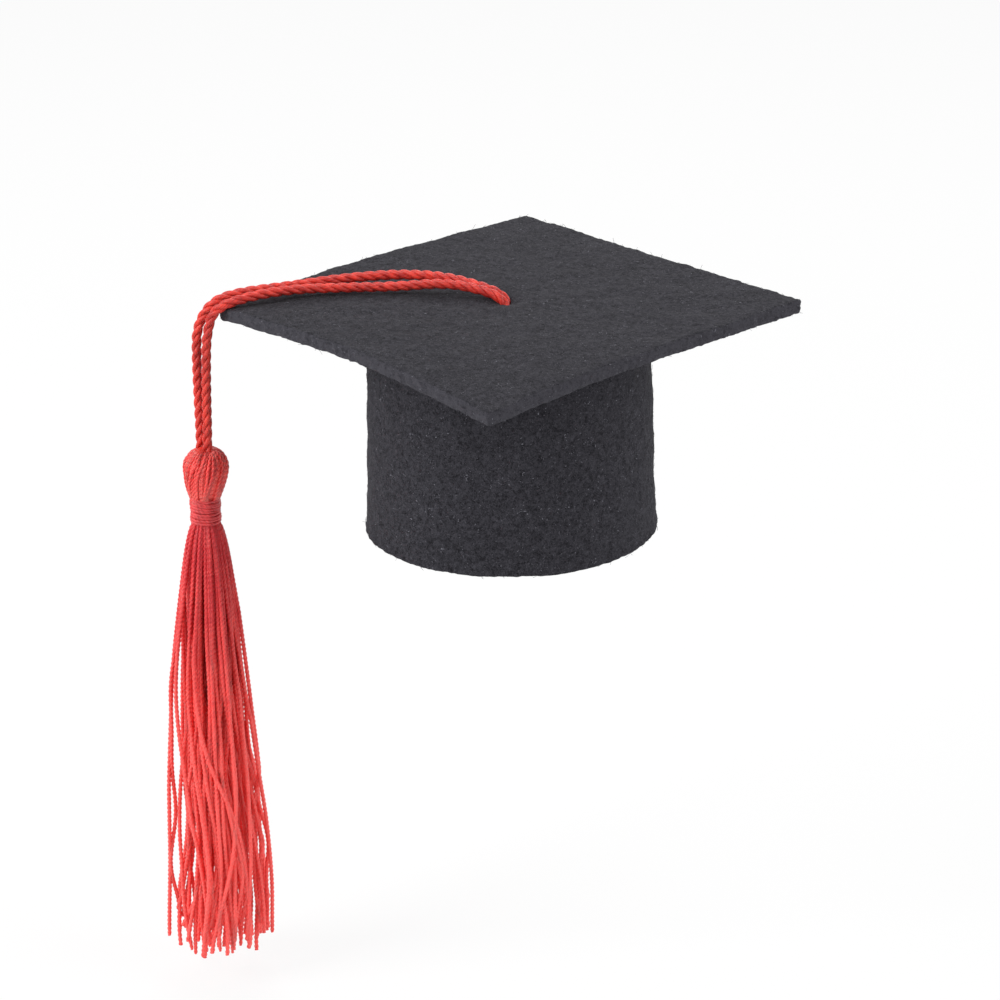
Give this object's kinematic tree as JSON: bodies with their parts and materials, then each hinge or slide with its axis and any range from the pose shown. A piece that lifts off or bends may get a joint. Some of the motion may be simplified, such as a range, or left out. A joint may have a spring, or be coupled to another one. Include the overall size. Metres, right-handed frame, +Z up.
{
  "type": "graduation cap",
  "caption": "Small stiff-felt graduation cap: a flat square board on a rolled crown, with a twisted-cord tassel that hangs over one corner.",
  "frame": {"origin": "middle of the head opening, level with the crown's rim", "axes": "+Z up through the board; the board's corners point along X and Y; -Y is the front corner, and the tassel hangs at the -X corner"},
  "size_m": [0.0955, 0.0842, 0.1108],
  "materials": {
    "stiff_felt": "matte pressed felt, dark charcoal, fuzzy at the cut edges",
    "clear_glue": "set hot-melt glue, cloudy",
    "twisted_cord": "two-ply twisted viscose cord, soft sheen, brick red",
    "tassel_thread": "fine twisted viscose threads, soft sheen, red",
    "binding_thread": "fine viscose thread wound tight, red"
  },
  "bodies": {
    "cap": {"mortarboard": "stiff_felt", "crown_band": "stiff_felt", "crown_seam_glue": "clear_glue", "board_glue_bead": "clear_glue"},
    "cord_top": {"cord_knot": "twisted_cord", "cord_front_leg": "twisted_cord", "cord_rear_leg": "twisted_cord", "cord_front_tail": "twisted_cord", "cord_rear_tail": "twisted_cord"},
    "cord_drop": {"cord_front_drop": "twisted_cord", "cord_rear_drop": "twisted_cord"},
    "tassel": {"cord_loop": "twisted_cord", "tassel_head": "tassel_thread", "neck_binding": "binding_thread", "skirt_lock_01": "tassel_thread", "skirt_lock_02": "tassel_thread", "skirt_lock_03": "tassel_thread", "skirt_lock_04": "tassel_thread", "skirt_lock_05": "tassel_thread", "skirt_lock_06": "tassel_thread", "skirt_lock_07": "tassel_thread", "skirt_lock_08": "tassel_thread", "skirt_lock_09": "tassel_thread", "skirt_lock_10": "tassel_thread", "skirt_lock_11": "tassel_thread", "skirt_lock_12": "tassel_thread", "skirt_lock_13": "tassel_thread", "skirt_lock_14": "tassel_thread", "skirt_lock_15": "tassel_thread", "skirt_lock_16": "tassel_thread", "skirt_lock_17": "tassel_thread", "skirt_lock_18": "tassel_thread", "skirt_lock_19": "tassel_thread"}
  },
  "joints": [
    {"name": "tassel_turn", "type": "hinge", "parent": "cap", "child": "cord_top", "pos_m": [0, 0, 0.0346], "axis": [0, 0, 1], "range_deg": [-180, 180]},
    {"name": "tassel_swing", "type": "hinge", "parent": "cord_top", "child": "cord_drop", "pos_m": [-0.04543, 0, 0.0294], "axis": [0, 1, 0], "range_deg": [-32, 80]},
    {"name": "tassel_tilt", "type": "hinge", "parent": "cord_drop", "child": "tassel", "pos_m": [-0.04543, 0, 0.0082], "axis": [1, 0, 0], "range_deg": [-60, 60]}
  ]
}
